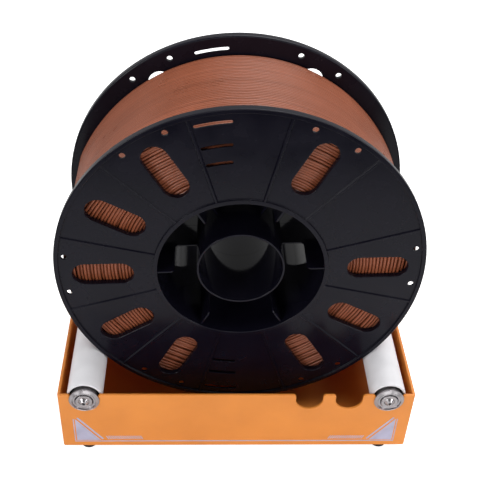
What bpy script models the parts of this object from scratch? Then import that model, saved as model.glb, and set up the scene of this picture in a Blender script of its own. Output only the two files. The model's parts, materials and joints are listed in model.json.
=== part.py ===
"""Roller stand for a filament spool, with a full spool on its two rollers.

Metres, +Z up. The stand faces -Y. The origin is under the middle of the stand, on the
surface that the feet rest on. The spool and both rollers turn about axes along Y.
"""
import math

import bmesh
import bpy
from mathutils import Matrix, Vector

# Tray: one sheet-metal box, open at the top, with notches for the roller bearings
TRAY_SIDE_MARGIN = 0.0005  # on each side, how much wider the tray is than the spool
TRAY_DEPTH = 0.142
TRAY_HEIGHT = 0.044
SHEET = 0.0015
TRAY_EDGE_RADIUS = 0.0009
AXLE_DROP = 0.0038  # roller axis below the tray's top edge
ROLLER_INSET = 0.01475  # from the tray's side to the roller's axis
NOTCH_LAND = 0.0036  # flat edge between two notches
NOTCH_MOUTH_RADIUS = 0.0018
RIGHT_NOTCH_COUNT = 3
LEFT_NOTCH_COUNT = 1

# Rubber feet
FOOT_DIAMETER = 0.010
FOOT_TOP_DIAMETER = 0.0112
FOOT_HEIGHT = 0.005
FOOT_INSET_X = 0.014
FOOT_INSET_Y = 0.0076

# Rollers
SLEEVE_WALL = 0.0013
SLEEVE_ROOM = 0.0012  # around the bearing, which reaches into the sleeve's end
SLEEVE_END_GAP = 0.0008  # from the tray wall to the sleeve
PLUG_LENGTH = 0.008
PLUG_BOSS_LENGTH = 0.0017
PLUG_BOSS_WALL = 0.0010
SHAFT_STAND_OUT = 0.0002  # past the bearing's outer face
CENTRE_HOLE_DIAMETER = 0.0030
CENTRE_HOLE_DEPTH = 0.0020

# Flanged ball bearings, 6 x 15 x 5 mm
BEARING_BORE = 0.006
BEARING_DIAMETER = 0.015
BEARING_WIDTH = 0.005
BEARING_FLANGE_HEIGHT = 0.0010
BEARING_FLANGE_WIDTH = 0.0012
RING_WALL = 0.00135
BALL_DIAMETER = 0.00238
BALL_COUNT = 7
RACE_EDGE_SHARE = 0.84  # width of the ball's groove at the shoulder, of the ball
RACE_FLOOR_SHARE = 0.42
CAGE_WIDTH = 0.0014
CAGE_WALL = 0.0005
SHIELD_THICKNESS = 0.0003
SHIELD_RECESS = 0.0002

# Spool: two moulded halves that meet in the middle of the barrel
SPOOL_DIAMETER = 0.200
SPOOL_WIDTH = 0.0833
SPOOL_TURN = math.radians(2.4)  # how far the spool has rolled, seen from the front
FLANGE_THICKNESS = 0.0045
PANEL_THICKNESS = 0.00345
RIM_LIP = 0.0025
RIM_CHAMFER = 0.0006
GROOVE_INSET = 0.0020  # from the spool's edge to the groove behind the panel
GROOVE_WIDTH = 0.0061
GROOVE_DEPTH = 0.0017
BARREL_DIAMETER = 0.095
BARREL_WALL = 0.0025
BORE_DIAMETER = 0.0453
BORE_WALL = 0.0012
BORE_SETBACK = 0.0021
WEB_COUNT = 6
WEB_THICKNESS = 0.0012
WEB_REACH = 0.0090  # of its front part, inward from the barrel's inner face
WEB_SETBACK = 0.0013
WEB_CORNER = 0.0022
WEB_STEP_DEPTH = 0.0240  # behind it the web runs on to the bore tube
WEB_STEP_FILLET = 0.0017
RIB_COUNT = 12
RIB_WIDTH = 0.0012
RIB_SETBACK = 0.0003  # below the rim's face
WINDOW_WIDTH = 0.0140
WINDOW_INNER_MARGIN = 0.0098  # from the hub ring
WINDOW_OUTER_MARGIN = 0.0065  # from the rim's lip
WINDOW_ANGLES = [math.radians(a) for a in (-150, -120, -90, -60, -30, 30, 90, 120, 150)]
TIE_HOLE_DIAMETER = 0.0035
TIE_HOLE_INSET = 0.005  # from the spool's edge
TIE_HOLE_SPREAD = math.radians(7.5)
TIE_HOLE_ANGLES = [math.radians(a) for a in (-150, -90, -30, 30, 90, 150)]
SLOT_WIDTH = 0.0024
SLOT_OUTER_INSET = 0.0068  # from the spool's edge
SLOT_MIDDLE_INSET = 0.0200
SLOT_INNER_INSET = 0.0300
SLOT_OUTER_SPAN = math.radians(11.5)
SLOT_MIDDLE_SPAN = math.radians(10.2)
SLOT_INNER_SPAN = math.radians(8.9)
SLOT_END_ANGLE = math.radians(-2.3)

# Filament wound on the barrel
WINDING_INSET = 0.0105  # from the spool's edge to the outer turns
WINDING_SLACK = 0.0060  # how much further out the loose outer turns hang at the sides
LOOP_COUNT = 20
LOOP_SPACE = 0.0005  # free space from one loop to the next

# Clearances
SEAT_GAP = 0.0002  # between pieces that rest on or fit in each other
PRESS_GAP = 0.0001  # between the shaft and the bearing's bore
RUN_GAP = 0.00015  # between the balls and the races
ROLL_GAP = 0.0003  # between the spool's rims and the rollers
HALF_GAP = 0.0003  # between the spool's halves, and from them to the filament
OVERRUN = 0.0010  # how far a cutter passes the face that it cuts
BITE = 0.0006  # how far a rib runs into the wall that carries it

# Facets of round pieces
WELD = 1e-6  # points closer than this are one point
SHARP_ANGLE = math.radians(35)
SPOOL_STEPS = 48
ROLLER_STEPS = 24
PLUG_STEPS = 16
BEARING_STEPS = 14
BALL_STEPS = 6
BALL_RINGS = 4
FOOT_STEPS = 14
LOOP_POINTS = 24
WINDOW_END_STEPS = 4
HOLE_STEPS = 6
SLOT_STEPS = 2
WEB_CORNER_STEPS = 2
NOTCH_STEPS = 9
MOUTH_STEPS = 2

# Sizes and places worked out from those above
TRAY_WIDTH = SPOOL_DIAMETER + 2 * TRAY_SIDE_MARGIN
ROLLER_DIAMETER = BEARING_DIAMETER + 2 * (SLEEVE_ROOM + SLEEVE_WALL)
SHAFT_DIAMETER = BEARING_BORE - 2 * PRESS_GAP
OUTER_NOTCH_X = TRAY_WIDTH / 2 - ROLLER_INSET
AXLE_HEIGHT = FOOT_HEIGHT + SEAT_GAP + TRAY_HEIGHT - AXLE_DROP
AXLE_REACH = (SPOOL_DIAMETER + ROLLER_DIAMETER) / 2 + ROLL_GAP
SPOOL_HEIGHT = AXLE_HEIGHT + math.sqrt(AXLE_REACH ** 2 - OUTER_NOTCH_X ** 2)
NOTCH_RADIUS = BEARING_DIAMETER / 2 + SEAT_GAP
NOTCH_PITCH = 2 * (NOTCH_RADIUS + NOTCH_MOUTH_RADIUS) + NOTCH_LAND
BEARING_FACE_Y = TRAY_DEPTH / 2 + SEAT_GAP + BEARING_FLANGE_WIDTH
HALF_WIDTH = SPOOL_WIDTH / 2
SPOOL_RADIUS = SPOOL_DIAMETER / 2
BARREL_RADIUS = BARREL_DIAMETER / 2
TUBE_RADIUS = BORE_DIAMETER / 2 + BORE_WALL
WINDING_RADIUS = SPOOL_RADIUS - WINDING_INSET


def clear_scene():
    for old in list(bpy.data.objects):
        bpy.data.objects.remove(old, do_unlink=True)


def new_collection(name):
    group = bpy.data.collections.new(name)
    bpy.context.scene.collection.children.link(group)
    return group


def finish(name, colour, roughness, metallic=0.0):
    material = bpy.data.materials.new(name)
    material.use_nodes = True
    shader = material.node_tree.nodes["Principled BSDF"]
    shader.inputs["Base Color"].default_value = (*colour, 1.0)
    shader.inputs["Roughness"].default_value = roughness
    shader.inputs["Metallic"].default_value = metallic
    material.diffuse_color = (*colour, 1.0)
    return material


def axis_empty(name, location, turn=0.0):
    """An empty whose local Z points to the front (-Y), local X to the right and local Y up."""
    empty = bpy.data.objects.new(name, None)
    empty.location = location
    empty.rotation_euler = (math.pi / 2, -turn, 0.0)
    empty.empty_display_size = ROLLER_DIAMETER
    PARTS.objects.link(empty)
    return empty


def add_piece(name, data, material=None, parent=None, location=(0.0, 0.0, 0.0), group=None):
    piece = bpy.data.objects.new(name, data)
    piece.location = location
    piece.parent = parent
    if material:
        data.materials.append(material)
    (group or PARTS).objects.link(piece)
    return piece


def add_cutter(name, bm, parent=None):
    data = bpy.data.meshes.new(name)
    bmesh.ops.recalc_face_normals(bm, faces=bm.faces)
    bm.to_mesh(data)
    bm.free()
    cutter = add_piece(name, data, parent=parent, group=CUTTERS)
    cutter.hide_render = True
    cutter.display_type = "WIRE"
    return cutter


def boolean(piece, other, operation):
    step = piece.modifiers.new(f"{operation.lower()}_{other.name}", "BOOLEAN")
    step.object = other
    step.operation = operation
    step.solver = "EXACT"


def smooth_by_angle():
    """A node group that shades faces smooth and keeps edges over SHARP_ANGLE sharp."""
    tree = bpy.data.node_groups.new("smooth_by_angle", "GeometryNodeTree")
    tree.interface.new_socket("Geometry", in_out="INPUT", socket_type="NodeSocketGeometry")
    tree.interface.new_socket("Geometry", in_out="OUTPUT", socket_type="NodeSocketGeometry")
    start = tree.nodes.new("NodeGroupInput")
    end = tree.nodes.new("NodeGroupOutput")
    faces = tree.nodes.new("GeometryNodeSetShadeSmooth")
    edges = tree.nodes.new("GeometryNodeSetShadeSmooth")
    edges.domain = "EDGE"
    edges.inputs["Shade Smooth"].default_value = False
    bend = tree.nodes.new("GeometryNodeInputMeshEdgeAngle")
    sharp = tree.nodes.new("FunctionNodeCompare")
    sharp.operation = "GREATER_THAN"
    sharp.inputs["B"].default_value = SHARP_ANGLE
    tree.links.new(bend.outputs["Unsigned Angle"], sharp.inputs["A"])
    tree.links.new(sharp.outputs["Result"], edges.inputs["Selection"])
    tree.links.new(start.outputs["Geometry"], faces.inputs["Geometry"])
    tree.links.new(faces.outputs["Geometry"], edges.inputs["Geometry"])
    tree.links.new(edges.outputs["Geometry"], end.inputs["Geometry"])
    return tree


def turned(name, profile, steps, material, parent, group=None):
    """A ring with a closed (radius, height) profile, turned about the parent's local Z."""
    sides = zip(profile, profile[1:] + profile[:1])
    area = sum(a[0] * b[1] - b[0] * a[1] for a, b in sides)
    ordered = profile[::-1] if area > 0 else profile
    data = bpy.data.meshes.new(name)
    edges = [(i, (i + 1) % len(ordered)) for i in range(len(ordered))]
    data.from_pydata([(r, 0.0, z) for r, z in ordered], edges, [])
    piece = add_piece(name, data, material, parent, group=group)
    screw = piece.modifiers.new("turn", "SCREW")
    screw.axis = "Z"
    screw.angle = 2 * math.pi
    screw.steps = steps
    screw.render_steps = steps
    screw.use_merge_vertices = True
    screw.merge_threshold = WELD
    screw.use_smooth_shade = False
    return piece


def add_block(bm, size, centre, turn=Matrix.Identity(4)):
    corners = bmesh.ops.create_cube(bm, size=1.0)["verts"]
    place = turn @ Matrix.Translation(centre) @ Matrix.Diagonal((*size, 1.0))
    bmesh.ops.transform(bm, matrix=place, verts=corners)


def add_prism(bm, outline, low, high, place=Matrix.Identity(4)):
    """A closed outline in local XY, drawn out from height low to height high."""
    corners = [bm.verts.new((x, y, low)) for x, y in outline]
    base = bm.faces.new(corners)
    raised = bmesh.ops.extrude_face_region(bm, geom=[base])["geom"]
    top = [v for v in raised if isinstance(v, bmesh.types.BMVert)]
    bmesh.ops.translate(bm, vec=(0.0, 0.0, high - low), verts=top)
    bmesh.ops.transform(bm, matrix=place, verts=corners + top)


def arc(centre, radius, start, end, steps):
    """Points from angle start to angle end, both counted from +X towards +Y."""
    angles = [start + (end - start) * i / steps for i in range(steps + 1)]
    return [(centre[0] + radius * math.cos(a), centre[1] + radius * math.sin(a)) for a in angles]


def polar(radius, angle):
    """A point at this angle from local +Y towards local +X."""
    return (radius * math.sin(angle), radius * math.cos(angle))


def stadium(length, width, steps):
    """A slot with round ends, long along local Y."""
    end = (length - width) / 2
    upper = arc((0.0, end), width / 2, 0.0, math.pi, steps)
    lower = arc((0.0, -end), width / 2, math.pi, 2 * math.pi, steps)
    return upper + lower


def curved_slot(radius, width, start, end, steps):
    """A band of one width along an arc, from angle start to angle end."""
    angles = [start + (end - start) * i / steps for i in range(steps + 1)]
    outer = [polar(radius + width / 2, a) for a in angles]
    inner = [polar(radius - width / 2, a) for a in reversed(angles)]
    return outer + inner


def notch_outline():
    """A U that holds a bearing, with rounded corners at its mouth, open upwards."""
    top = AXLE_DROP
    mouth = NOTCH_RADIUS + NOTCH_MOUTH_RADIUS
    shoulder = top - NOTCH_MOUTH_RADIUS
    right = arc((mouth, shoulder), NOTCH_MOUTH_RADIUS, math.pi, math.pi / 2, MOUTH_STEPS)
    left = arc((-mouth, shoulder), NOTCH_MOUTH_RADIUS, math.pi / 2, 0.0, MOUTH_STEPS)
    bowl = arc((0.0, 0.0), NOTCH_RADIUS, math.pi, 2 * math.pi, NOTCH_STEPS)
    above = [(mouth, top + OVERRUN), (-mouth, top + OVERRUN)]
    return bowl + right + above + left


def notch_places():
    right = [OUTER_NOTCH_X - i * NOTCH_PITCH for i in range(RIGHT_NOTCH_COUNT)]
    left = [i * NOTCH_PITCH - OUTER_NOTCH_X for i in range(LEFT_NOTCH_COUNT)]
    return left + right


def make_tray():
    data = bpy.data.meshes.new("tray")
    bm = bmesh.new()
    base = FOOT_HEIGHT + SEAT_GAP
    middle = (0.0, 0.0, base + TRAY_HEIGHT / 2)
    add_block(bm, (TRAY_WIDTH, TRAY_DEPTH, TRAY_HEIGHT), middle)
    bmesh.ops.delete(bm, geom=[f for f in bm.faces if f.normal.z > 0.5], context="FACES_ONLY")
    bm.to_mesh(data)
    bm.free()
    tray = add_piece("tray", data, ORANGE_COAT)
    shell = tray.modifiers.new("sheet", "SOLIDIFY")
    shell.thickness = SHEET
    shell.offset = -1.0
    shell.use_even_offset = True
    shell.bevel_convex = 1.0
    rounded = tray.modifiers.new("bends", "BEVEL")
    rounded.limit_method = "WEIGHT"
    rounded.width = TRAY_EDGE_RADIUS
    rounded.segments = 2
    cutter = bmesh.new()
    front = Matrix.Rotation(math.pi / 2, 4, "X")
    for x in notch_places():
        for wall in (-1, 1):
            outside = wall * (TRAY_DEPTH / 2 + OVERRUN)
            inside = wall * (TRAY_DEPTH / 2 - SHEET - OVERRUN)
            place = Matrix.Translation((x, 0.0, AXLE_HEIGHT)) @ front
            add_prism(cutter, notch_outline(), -max(outside, inside), -min(outside, inside), place)
    boolean(tray, add_cutter("bearing_notches", cutter), "DIFFERENCE")


def make_feet():
    x = TRAY_WIDTH / 2 - FOOT_INSET_X
    y = TRAY_DEPTH / 2 - FOOT_INSET_Y
    data = bpy.data.meshes.new("foot")
    bm = bmesh.new()
    bmesh.ops.create_cone(bm, cap_ends=True, segments=FOOT_STEPS, depth=FOOT_HEIGHT,
                          radius1=FOOT_DIAMETER / 2, radius2=FOOT_TOP_DIAMETER / 2)
    bm.to_mesh(data)
    bm.free()
    data.materials.append(RUBBER)
    for end, side_y in (("front", -1), ("back", 1)):
        for side, side_x in (("left", -1), ("right", 1)):
            place = (side_x * x, side_y * y, FOOT_HEIGHT / 2)
            add_piece(f"foot_{end}_{side}", data, location=place)


def make_shaft(side, axis):
    half = BEARING_FACE_Y + SHAFT_STAND_OUT
    data = bpy.data.meshes.new(f"{side}_roller_shaft")
    bm = bmesh.new()
    bmesh.ops.create_cone(bm, cap_ends=True, segments=BEARING_STEPS, depth=2 * half,
                          radius1=SHAFT_DIAMETER / 2, radius2=SHAFT_DIAMETER / 2)
    bm.to_mesh(data)
    bm.free()
    shaft = add_piece(f"{side}_roller_shaft", data, STEEL, axis)
    drill = bmesh.new()
    for end in (-1, 1):
        reach = CENTRE_HOLE_DEPTH * 2
        cone = bmesh.ops.create_cone(drill, cap_ends=True, segments=HOLE_STEPS, depth=reach,
                                     radius1=0.0, radius2=CENTRE_HOLE_DIAMETER)["verts"]
        place = Matrix.Translation((0.0, 0.0, end * half)) @ Matrix.Diagonal((1.0, 1.0, end, 1.0))
        bmesh.ops.transform(drill, matrix=place, verts=cone)
    boolean(shaft, add_cutter(f"{side}_centre_drill", drill, axis), "DIFFERENCE")


def make_sleeve_and_plugs(side, axis):
    outer = ROLLER_DIAMETER / 2
    inner = outer - SLEEVE_WALL
    end = TRAY_DEPTH / 2 - SHEET - SLEEVE_END_GAP
    turned(f"{side}_roller_sleeve", [(outer, end), (outer, -end), (inner, -end), (inner, end)],
           ROLLER_STEPS, WHITE_SLEEVE, axis)
    bearing_back = BEARING_FACE_Y - BEARING_WIDTH
    for name, way in (("front", 1), ("back", -1)):
        boss_end = bearing_back - SEAT_GAP
        face = boss_end - PLUG_BOSS_LENGTH
        rim = inner - SEAT_GAP
        bore = SHAFT_DIAMETER / 2 + SEAT_GAP
        boss = bore + PLUG_BOSS_WALL
        profile = [(rim, face), (rim, face - PLUG_LENGTH), (bore, face - PLUG_LENGTH),
                   (bore, boss_end), (boss, boss_end), (boss, face)]
        turned(f"{side}_roller_plug_{name}", [(r, way * z) for r, z in profile],
               PLUG_STEPS, BLACK_PLASTIC, axis)


def make_bearing(side, x, end, way):
    """One flanged bearing, with its flange outside the tray's wall."""
    label = f"{side}_{end}_bearing"
    middle = BEARING_FACE_Y - BEARING_WIDTH / 2
    axis = axis_empty(f"{label}_axis", (x, -way * middle, AXLE_HEIGHT))
    half = BEARING_WIDTH / 2
    pitch = (BEARING_BORE + BEARING_DIAMETER) / 4
    ball = BALL_DIAMETER / 2
    edge = ball * RACE_EDGE_SHARE
    floor = ball * RACE_FLOOR_SHARE
    outer_race = (pitch + ball + RUN_GAP) / math.cos(math.pi / BEARING_STEPS)
    inner_race = pitch - ball - RUN_GAP
    shoulder = BEARING_DIAMETER / 2 - RING_WALL
    inner_shoulder = BEARING_BORE / 2 + RING_WALL
    flange = BEARING_DIAMETER / 2 + BEARING_FLANGE_HEIGHT
    seat = half - BEARING_FLANGE_WIDTH
    outer = [(flange, half), (flange, seat), (BEARING_DIAMETER / 2, seat),
             (BEARING_DIAMETER / 2, -half), (shoulder, -half), (shoulder, -edge),
             (outer_race, -floor), (outer_race, floor), (shoulder, edge), (shoulder, half)]
    inner = [(inner_shoulder, half), (inner_shoulder, edge), (inner_race, floor),
             (inner_race, -floor), (inner_shoulder, -edge), (inner_shoulder, -half),
             (BEARING_BORE / 2, -half), (BEARING_BORE / 2, half)]
    turned(f"{label}_outer_ring", [(r, way * z) for r, z in outer], BEARING_STEPS, STEEL, axis)
    turned(f"{label}_inner_ring", [(r, way * z) for r, z in inner], BEARING_STEPS, STEEL, axis)
    for name, sign in (("outer", way), ("inner", -way)):
        top = half - SHIELD_RECESS
        rim = shoulder - RUN_GAP
        hole = inner_shoulder + SEAT_GAP
        shield = [(rim, top), (rim, top - SHIELD_THICKNESS), (hole, top - SHIELD_THICKNESS),
                  (hole, top)]
        turned(f"{label}_{name}_shield", [(r, sign * z) for r, z in shield],
               BEARING_STEPS, SHIELD_STEEL, axis)
    make_ball_cage(label, pitch, ball, axis)


def make_ball_cage(label, pitch, ball, axis):
    """Balls held in a ribbon cage, whose bars run straight from ball to ball."""
    inside, outside = pitch - CAGE_WALL / 2, pitch + CAGE_WALL / 2
    tall = CAGE_WIDTH / 2
    ribbon = [(outside, tall), (outside, -tall), (inside, -tall), (inside, tall)]
    cage = turned(f"{label}_ball_cage", ribbon, BALL_COUNT, BALL_STEEL, axis)
    balls = bmesh.new()
    for i in range(BALL_COUNT):
        turn = Matrix.Rotation(2 * math.pi * i / BALL_COUNT, 4, "Z")
        place = turn @ Matrix.Translation((pitch, 0.0, 0.0))
        bmesh.ops.create_uvsphere(balls, u_segments=BALL_STEPS, v_segments=BALL_RINGS,
                                  radius=ball, matrix=place)
    boolean(cage, add_cutter(f"{label}_balls", balls, axis), "UNION")


def spool_half_profile():
    """Section of one half: rim, groove behind the panel, barrel wall, hub ring and panel."""
    rim = SPOOL_RADIUS
    face = HALF_WIDTH
    back = face - FLANGE_THICKNESS
    panel = back + PANEL_THICKNESS
    lip = rim - RIM_LIP
    groove_out = rim - GROOVE_INSET
    groove_in = groove_out - GROOVE_WIDTH
    groove = back + GROOVE_DEPTH
    barrel = BARREL_RADIUS
    barrel_in = barrel - BARREL_WALL
    seam = HALF_GAP / 2
    return [(rim, face - RIM_CHAMFER), (rim, back), (groove_out, back), (groove_out, groove),
            (groove_in, groove), (groove_in, back), (barrel, back), (barrel, seam),
            (barrel_in, seam), (barrel_in, face), (barrel, face), (barrel, panel),
            (lip, panel), (lip, face), (rim - RIM_CHAMFER, face)]


def bore_tube_profile():
    bore = BORE_DIAMETER / 2
    seam = HALF_GAP / 2
    top = HALF_WIDTH - BORE_SETBACK
    return [(TUBE_RADIUS, top), (TUBE_RADIUS, seam), (bore, seam), (bore, top)]


def flange_ribs():
    """Thin ribs on the panel from the hub ring to the rim."""
    bm = bmesh.new()
    start = BARREL_RADIUS - BITE
    end = SPOOL_RADIUS - RIM_LIP + BITE
    low = HALF_WIDTH - FLANGE_THICKNESS + PANEL_THICKNESS - BITE
    high = HALF_WIDTH - RIB_SETBACK
    size = (RIB_WIDTH, end - start, high - low)
    centre = (0.0, (start + end) / 2, (low + high) / 2)
    for i in range(RIB_COUNT):
        turn = Matrix.Rotation(2 * math.pi * (i + 0.5) / RIB_COUNT, 4, "Z")
        add_block(bm, size, centre, turn)
    return bm


def hub_webs():
    """Radial webs from the barrel to the bore tube, cut away in front to a narrow strip."""
    bm = bmesh.new()
    wall = BARREL_RADIUS - BARREL_WALL
    tube = TUBE_RADIUS - BITE
    top = HALF_WIDTH - WEB_SETBACK
    step = HALF_WIDTH - WEB_STEP_DEPTH
    edge = wall - WEB_REACH
    corner = (edge + WEB_CORNER, top - WEB_CORNER)
    fillet = (edge - WEB_STEP_FILLET, step + WEB_STEP_FILLET)
    outline = [(wall + BITE, HALF_GAP), (wall + BITE, top)]
    outline += arc(corner, WEB_CORNER, math.pi / 2, math.pi, WEB_CORNER_STEPS)
    outline += arc(fillet, WEB_STEP_FILLET, 0.0, -math.pi / 2, WEB_CORNER_STEPS)
    outline += [(tube, step), (tube, HALF_GAP)]
    upright = Matrix.Rotation(math.pi / 2, 4, "X")
    half = WEB_THICKNESS / 2
    for i in range(WEB_COUNT):
        angle = math.pi / 2 - 2 * math.pi * (i + 0.5) / WEB_COUNT
        add_prism(bm, outline, -half, half, Matrix.Rotation(angle, 4, "Z") @ upright)
    return bm


def flange_openings():
    """Viewing windows, tie holes and gauge slots through the panel."""
    bm = bmesh.new()
    low = HALF_WIDTH - FLANGE_THICKNESS - OVERRUN
    high = HALF_WIDTH + OVERRUN
    inner = BARREL_RADIUS + WINDOW_INNER_MARGIN
    outer = SPOOL_RADIUS - RIM_LIP - WINDOW_OUTER_MARGIN
    window = stadium(outer - inner, WINDOW_WIDTH, WINDOW_END_STEPS)
    for angle in WINDOW_ANGLES:
        turn = Matrix.Rotation(-angle, 4, "Z")
        place = turn @ Matrix.Translation((0.0, (inner + outer) / 2, 0.0))
        add_prism(bm, window, low, high, place)
    hole = arc((0.0, 0.0), TIE_HOLE_DIAMETER / 2, 0.0, 2 * math.pi, HOLE_STEPS)[:-1]
    for angle in TIE_HOLE_ANGLES:
        for offset in (-TIE_HOLE_SPREAD, TIE_HOLE_SPREAD):
            turn = Matrix.Rotation(-(angle + offset), 4, "Z")
            place = turn @ Matrix.Translation((0.0, SPOOL_RADIUS - TIE_HOLE_INSET, 0.0))
            add_prism(bm, hole, low, high, place)
    slots = ((SLOT_OUTER_INSET, SLOT_OUTER_SPAN), (SLOT_MIDDLE_INSET, SLOT_MIDDLE_SPAN),
             (SLOT_INNER_INSET, SLOT_INNER_SPAN))
    for inset, span in slots:
        for mirror in (1, -1):
            ends = (SLOT_END_ANGLE - span, SLOT_END_ANGLE)
            outline = curved_slot(SPOOL_RADIUS - inset, SLOT_WIDTH, *ends, SLOT_STEPS)
            add_prism(bm, [(x, mirror * y) for x, y in outline], low, high)
    return bm


def make_spool_half(name, way, axis):
    """The half on the front has way 1, and the back half is its mirror image."""
    profile = [(r, way * z) for r, z in spool_half_profile()]
    half = turned(f"spool_{name}_half", profile, SPOOL_STEPS, BLACK_PLASTIC, axis)
    flip = Matrix.Diagonal((1.0, 1.0, way, 1.0))
    shapes = (("ribs", flange_ribs(), "UNION"), ("webs", hub_webs(), "UNION"),
              ("openings", flange_openings(), "DIFFERENCE"))
    for label, bm, operation in shapes:
        bmesh.ops.transform(bm, matrix=flip, verts=bm.verts)
        boolean(half, add_cutter(f"{name}_{label}", bm, axis), operation)
    section = [(r, way * z) for r, z in bore_tube_profile()]
    tube = turned(f"{name}_bore_tube", section, SPOOL_STEPS, None, axis, CUTTERS)
    tube.hide_render = True
    boolean(half, tube, "UNION")


def hang(angle):
    """Share of the slack at an angle from local +X: none at the top, all from the sides down."""
    return min(1.0, (1.0 - math.sin(angle + SPOOL_TURN)) ** 2)


def make_filament(axis):
    room = SPOOL_WIDTH - 2 * (FLANGE_THICKNESS + HALF_GAP)
    pitch = (room + LOOP_SPACE) / (LOOP_COUNT + 1)
    strand = pitch - LOOP_SPACE
    path_radius = WINDING_RADIUS - strand / 2
    flat_share = math.cos(math.pi / LOOP_POINTS)
    core_radius = path_radius - (strand / 2 + HALF_GAP) / flat_share
    barrel = (BARREL_RADIUS + HALF_GAP) / flat_share
    half = room / 2
    core = [(core_radius, half), (core_radius, -half), (barrel, -half), (barrel, half)]
    turned("filament_core", core, LOOP_POINTS, FILAMENT, axis)
    total = LOOP_COUNT * LOOP_POINTS
    points = []
    for i in range(total + 1):
        angle = 2 * math.pi * i / LOOP_POINTS
        height = -(room - strand) / 2 + pitch * i / LOOP_POINTS
        radius = path_radius + WINDING_SLACK * hang(angle)
        points.append(Vector((radius * math.cos(angle), radius * math.sin(angle), height)))
    curve = bpy.data.curves.new("filament_outer_layer", "CURVE")
    curve.dimensions = "3D"
    curve.bevel_depth = strand / 2
    curve.bevel_resolution = 1
    curve.use_fill_caps = True
    spline = curve.splines.new("POLY")
    spline.points.add(total)
    for point, place in zip(spline.points, points):
        point.co = (*place, 1.0)
    add_piece("filament_outer_layer", curve, FILAMENT, axis)
    near = LOOP_POINTS // 2
    gap = min((a - b).length for i, a in enumerate(points) for b in points[i + near:]) - strand
    print(f"least gap between filament loops: {gap * 1000:.2f} mm")


clear_scene()
PARTS = new_collection("filament_spool_holder")
CUTTERS = new_collection("cutters")
ORANGE_COAT = finish("orange_powder_coat", (0.75, 0.27, 0.06), 0.45)
RUBBER = finish("black_rubber", (0.015, 0.014, 0.014), 0.80)
WHITE_SLEEVE = finish("white_sleeve", (0.72, 0.71, 0.73), 0.40)
BLACK_PLASTIC = finish("black_plastic", (0.020, 0.020, 0.024), 0.32)
STEEL = finish("bright_steel", (0.62, 0.61, 0.63), 0.22, 1.0)
SHIELD_STEEL = finish("shield_steel", (0.48, 0.47, 0.50), 0.34, 1.0)
BALL_STEEL = finish("ball_steel", (0.55, 0.55, 0.56), 0.15, 1.0)
FILAMENT = finish("brown_filament", (0.36, 0.14, 0.085), 0.42)

make_tray()
make_feet()
for side, x in (("left", -OUTER_NOTCH_X), ("right", OUTER_NOTCH_X)):
    roller_axis = axis_empty(f"{side}_roller_axis", (x, 0.0, AXLE_HEIGHT))
    make_shaft(side, roller_axis)
    make_sleeve_and_plugs(side, roller_axis)
    for end, way in (("front", 1), ("back", -1)):
        make_bearing(side, x, end, way)
spool_axis = axis_empty("spool_axis", (0.0, 0.0, SPOOL_HEIGHT), SPOOL_TURN)
make_spool_half("front", 1, spool_axis)
make_spool_half("back", -1, spool_axis)
make_filament(spool_axis)
smooth_group = smooth_by_angle()
for piece in PARTS.objects:
    if piece.type == "MESH":
        piece.modifiers.new("smooth_by_angle", "NODES").node_group = smooth_group
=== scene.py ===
import json
import math

import bmesh
import bpy
from mathutils import Matrix, Vector, noise


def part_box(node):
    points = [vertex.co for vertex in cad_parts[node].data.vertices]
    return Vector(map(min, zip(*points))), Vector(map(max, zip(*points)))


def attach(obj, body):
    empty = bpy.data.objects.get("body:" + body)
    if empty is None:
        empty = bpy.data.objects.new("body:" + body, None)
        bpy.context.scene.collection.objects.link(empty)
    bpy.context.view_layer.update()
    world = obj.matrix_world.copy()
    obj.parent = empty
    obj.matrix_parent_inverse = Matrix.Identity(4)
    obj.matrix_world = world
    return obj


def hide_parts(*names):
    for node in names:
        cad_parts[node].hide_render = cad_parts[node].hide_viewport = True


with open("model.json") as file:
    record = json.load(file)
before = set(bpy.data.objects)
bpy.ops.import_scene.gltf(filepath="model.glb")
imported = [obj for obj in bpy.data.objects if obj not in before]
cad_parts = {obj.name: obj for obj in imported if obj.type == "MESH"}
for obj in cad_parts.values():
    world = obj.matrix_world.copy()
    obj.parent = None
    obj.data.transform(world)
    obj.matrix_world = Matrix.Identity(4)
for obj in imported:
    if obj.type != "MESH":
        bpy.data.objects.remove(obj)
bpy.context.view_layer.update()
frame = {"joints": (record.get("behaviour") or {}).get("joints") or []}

# Camera
# The holder is seen from above its front, a little left of its middle, through a short
# telephoto lens. The camera itself leans a few degrees to one side.
CAMERA_PLACE = Vector((-0.02390, -0.39211, 0.41428))
LENS_LENGTH_MM = 64.25
SENSOR_WIDTH_MM = 36.0
PITCH = math.radians(38.308)
YAW = math.radians(3.675)
ROLL = math.radians(2.830)

ahead = Vector((math.sin(YAW) * math.cos(PITCH), math.cos(YAW) * math.cos(PITCH), -math.sin(PITCH)))
level = Vector((math.cos(YAW), -math.sin(YAW), 0.0))
upright = level.cross(ahead)
camera_right = math.cos(ROLL) * level + math.sin(ROLL) * upright
camera_up = math.cos(ROLL) * upright - math.sin(ROLL) * level
lens = bpy.data.cameras.new("studio_camera")
lens.lens = LENS_LENGTH_MM
lens.sensor_width = SENSOR_WIDTH_MM
lens.clip_start = 0.01
camera = bpy.data.objects.new("studio_camera", lens)
camera_turn = Matrix((camera_right, camera_up, -ahead)).transposed().to_4x4()
camera.matrix_world = Matrix.Translation(CAMERA_PLACE) @ camera_turn
bpy.context.scene.collection.objects.link(camera)
bpy.context.scene.camera = camera
bpy.context.scene.view_settings.view_transform = "Standard"

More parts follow.
